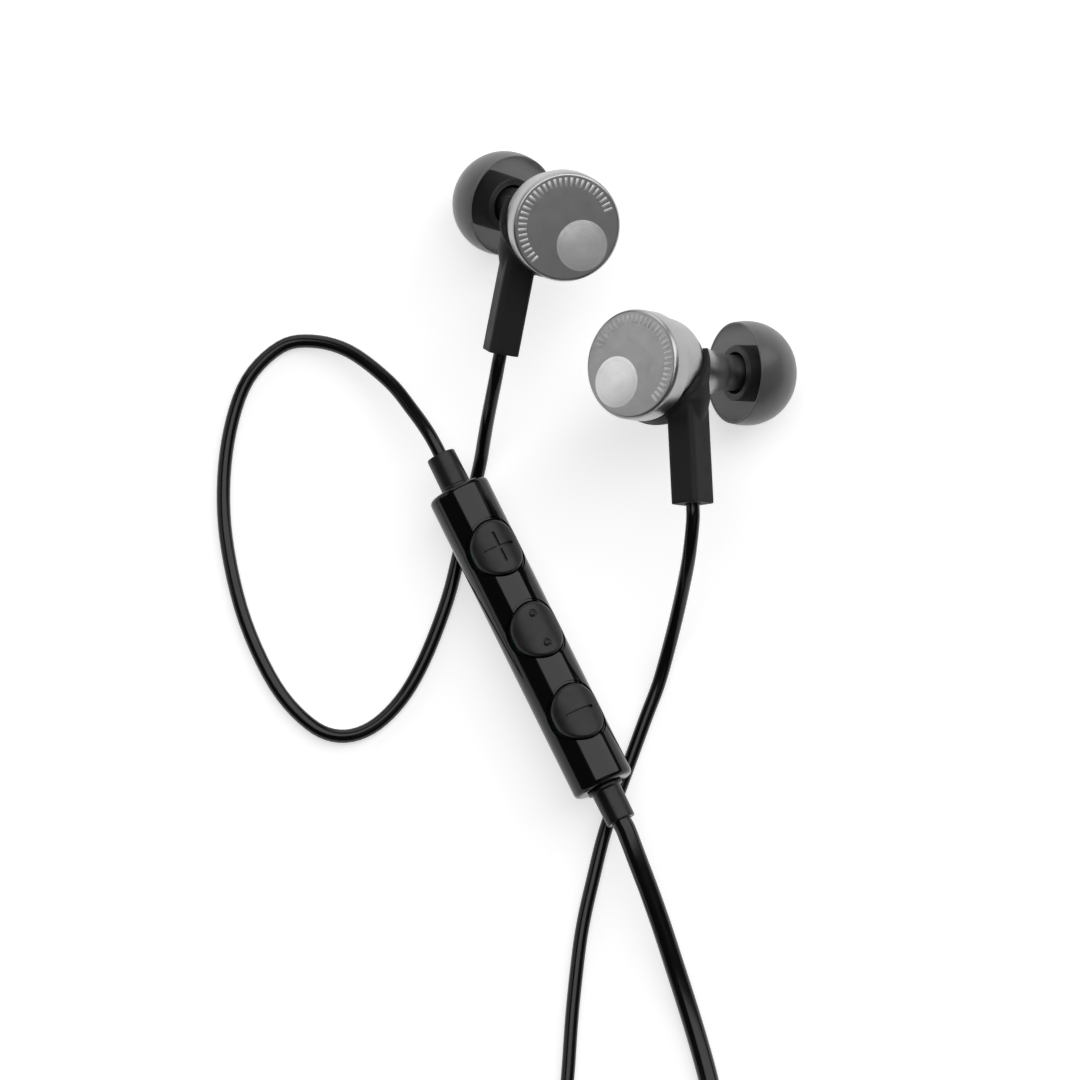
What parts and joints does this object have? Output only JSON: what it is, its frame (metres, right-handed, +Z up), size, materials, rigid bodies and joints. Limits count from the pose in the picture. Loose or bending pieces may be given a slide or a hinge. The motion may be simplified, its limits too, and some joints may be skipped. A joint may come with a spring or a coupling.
{
  "type": "wired earphones",
  "caption": "Wired in-ear earphones with round metal end caps, silicone ear tips, an inline button remote and a coiled cable ending in a jack plug.",
  "frame": {"origin": "on the surface that the earphones lie on, at the middle of the box around both ear buds and the remote", "axes": "+Z up from the surface; +Y along the long side of the layout, from the remote towards the ear buds; +X to the right of a viewer above"},
  "size_m": [0.0714, 0.1819, 0.0229],
  "materials": {
    "spun_metal": "satin",
    "dark_metal": "satin",
    "nickel": "bright",
    "copper": "bare wire",
    "gold": "polished",
    "gloss_black": "gloss",
    "satin_black": "satin",
    "soft_black": "matte",
    "cable_black": "satin",
    "silicone": "translucent satin",
    "circuit_board": "satin",
    "film": "clear",
    "insulator": "satin"
  },
  "bodies": {
    "root": {"left_end_cap": "spun_metal", "left_housing": "spun_metal", "left_stem": "soft_black", "left_nozzle_mesh": "dark_metal", "left_terminal_board": "circuit_board", "left_magnet_cup": "nickel", "left_magnet": "dark_metal", "left_top_plate": "nickel", "left_driver_frame": "dark_metal", "right_end_cap": "spun_metal", "right_housing": "spun_metal", "right_stem": "soft_black", "right_nozzle_mesh": "dark_metal", "right_terminal_board": "circuit_board", "right_magnet_cup": "nickel", "right_magnet": "dark_metal", "right_top_plate": "nickel", "right_driver_frame": "dark_metal", "remote_front_shell": "gloss_black", "remote_rear_shell": "gloss_black", "volume_up_switch": "nickel", "centre_switch": "nickel", "volume_down_switch": "nickel", "remote_circuit_board": "circuit_board", "microphone_capsule": "nickel", "remote_upper_boot": "satin_black", "remote_lower_boot": "satin_black", "left_upper_cable": "cable_black", "left_lower_cable": "cable_black", "right_cable": "cable_black", "right_cable_end": "cable_black", "main_cable_start": "cable_black", "main_cable_end": "cable_black", "cable_coil": "cable_black", "cable_tie": "soft_black", "splitter_core": "soft_black", "splitter_sleeve": "spun_metal", "plug_boot": "soft_black", "plug_barrel": "spun_metal", "plug_sleeve_contact": "gold", "plug_sleeve_insulator": "insulator", "plug_ring_2_contact": "gold", "plug_ring_2_insulator": "insulator", "plug_ring_1_contact": "gold", "plug_ring_1_insulator": "insulator", "plug_tip_contact": "gold"},
    "left_tip": {"left_ear_tip": "silicone"},
    "right_tip": {"right_ear_tip": "silicone"},
    "volume_up_key": {"volume_up_button": "satin_black"},
    "centre_key": {"centre_button": "satin_black"},
    "volume_down_key": {"volume_down_button": "satin_black"},
    "left_cone": {"left_diaphragm": "film", "left_voice_coil": "copper"},
    "right_cone": {"right_diaphragm": "film", "right_voice_coil": "copper"}
  },
  "joints": [
    {"name": "left_tip_pull", "type": "slide", "parent": "root", "child": "left_tip", "axis": [-0.5623, 0.3248, -0.7605], "range_m": [0, 0.009]},
    {"name": "right_tip_pull", "type": "slide", "parent": "root", "child": "right_tip", "axis": [0.8445, 0.0691, -0.5311], "range_m": [0, 0.009]},
    {"name": "volume_up_press", "type": "slide", "parent": "root", "child": "volume_up_key", "axis": [-0.2703, -0.1318, -0.9537], "range_m": [0, 0.0003], "stiffness_N_per_m": 3000},
    {"name": "centre_press", "type": "slide", "parent": "root", "child": "centre_key", "axis": [-0.2703, -0.1318, -0.9537], "range_m": [0, 0.0003], "stiffness_N_per_m": 3000},
    {"name": "volume_down_press", "type": "slide", "parent": "root", "child": "volume_down_key", "axis": [-0.2703, -0.1318, -0.9537], "range_m": [0, 0.0003], "stiffness_N_per_m": 3000},
    {"name": "left_cone_travel", "type": "slide", "parent": "root", "child": "left_cone", "axis": [0.2198, -0.3028, 0.9274], "range_m": [-0.00015, 0.00015], "stiffness_N_per_m": 300},
    {"name": "right_cone_travel", "type": "slide", "parent": "root", "child": "right_cone", "axis": [-0.5832, -0.07, 0.8093], "range_m": [-0.00015, 0.00015], "stiffness_N_per_m": 300}
  ]
}
